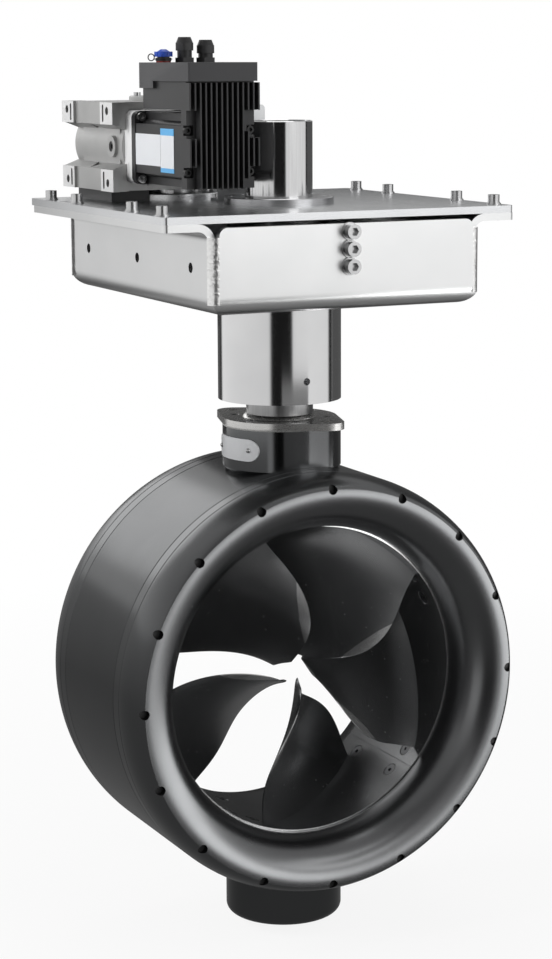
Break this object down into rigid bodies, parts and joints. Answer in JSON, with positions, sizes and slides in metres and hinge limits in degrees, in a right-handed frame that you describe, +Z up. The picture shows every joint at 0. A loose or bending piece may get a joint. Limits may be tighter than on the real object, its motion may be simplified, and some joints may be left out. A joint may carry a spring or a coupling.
{
  "type": "steerable pod drive",
  "caption": "Electric pod drive: a rim driven propeller in a steerable duct, hung by a hollow shaft under a bent sheet tray with a geared steering motor.",
  "frame": {"origin": "on the steering axis, at the top face of the cover plate", "axes": "+Z up along the steering axis, the duct intake faces -Y, +X to the right as seen from the intake"},
  "size_m": [0.48, 0.4219, 1.0091],
  "materials": {
    "satin_stainless": "satin sheet",
    "plate_stainless": "brushed",
    "tube_stainless": "ground and polished",
    "weld": "rough weld bead",
    "machined_steel": "turned",
    "screw_steel": "bright",
    "black_screws": "black oxide",
    "gear_steel": "hobbed",
    "bronze": "turned",
    "seal_rubber": "matt",
    "cast_aluminium": "fine cast",
    "adapter_aluminium": "machined",
    "dark_motor": "satin black",
    "fin_aluminium": "satin black",
    "lid_plastic": "fine grain",
    "gland_metal": "nickel plated",
    "red_seal": "matt",
    "blue_cap": "moulded",
    "label": "bare film",
    "nameplate": "bare plate",
    "pod_black": "satin black",
    "pod_ring": "satin dark grey",
    "blade_black": "satin black composite",
    "lamination": "stamped stack",
    "copper_resin": "resin cast copper",
    "magnet": "nickel plated"
  },
  "bodies": {
    "frame": {"cover_plate": "plate_stainless", "mounting_tray": "satin_stainless", "corner_welds": "weld", "stop_bar": "machined_steel", "cover_screws": "screw_steel", "front_wall_screws": "screw_steel", "screw_washers": "screw_steel", "column_tube": "tube_stainless", "lower_bearing_holder": "machined_steel", "upper_bearing_holder": "machined_steel", "shaft_bushes": "bronze", "shaft_seal": "seal_rubber", "bearing_cap": "machined_steel", "bearing_cap_screws": "screw_steel", "thrust_ring": "bronze", "gearbox_housing": "cast_aluminium", "oil_plug": "black_screws", "gearbox_cover": "cast_aluminium", "base_disc": "adapter_aluminium", "base_disc_screws": "screw_steel", "gearbox_pedestal": "pod_black", "motor_adapter": "adapter_aluminium", "motor_body": "dark_motor", "drive_screws": "screw_steel", "finned_cover": "fin_aluminium", "electronics_lid": "lid_plastic", "cable_glands": "gland_metal", "socket_body": "gland_metal", "socket_seal": "red_seal", "socket_cap": "blue_cap", "cap_leash": "seal_rubber", "labels": "label", "bracket": "satin_stainless"},
    "pinion_shaft": {"output_shaft": "machined_steel", "pinion": "gear_steel"},
    "pod": {"steering_shaft": "tube_stainless", "steering_gear": "gear_steel", "thrust_collar": "machined_steel", "shaft_flange": "satin_stainless", "shaft_flange_screws": "screw_steel", "pod_neck": "pod_black", "nameplate": "nameplate", "nameplate_rivets": "screw_steel", "stator_housing": "pod_black", "clamp_rings": "pod_ring", "front_nozzle": "pod_black", "rear_nozzle": "pod_black", "nozzle_screws": "black_screws", "stator_core": "lamination", "stator_windings": "copper_resin", "bearing_rings": "pod_ring", "bottom_stub": "pod_black"},
    "propeller": {"rotor_hoop": "machined_steel", "rotor_magnets": "magnet", "blade_1": "blade_black", "blade_2": "blade_black", "blade_3": "blade_black", "blade_4": "blade_black", "blade_5": "blade_black", "blade_screws": "screw_steel"}
  },
  "joints": [
    {"name": "steering", "type": "hinge", "parent": "frame", "child": "pod", "pos_m": [0, 0, 0], "axis": [0, 0, 1], "range_deg": [-180, 180]},
    {"name": "pinion_spin", "type": "hinge", "parent": "frame", "child": "pinion_shaft", "pos_m": [-0.06, 0.15049, 0], "axis": [0, 0, 1], "range_deg": [-632, 632]},
    {"name": "propeller_spin", "type": "hinge", "parent": "pod", "child": "propeller", "pos_m": [0, -0.004, -0.5311], "axis": [0, 1, 0], "continuous": true}
  ],
  "couplings": [
    {"joint": "pinion_spin", "follows": "steering", "ratio": -3.5}
  ]
}
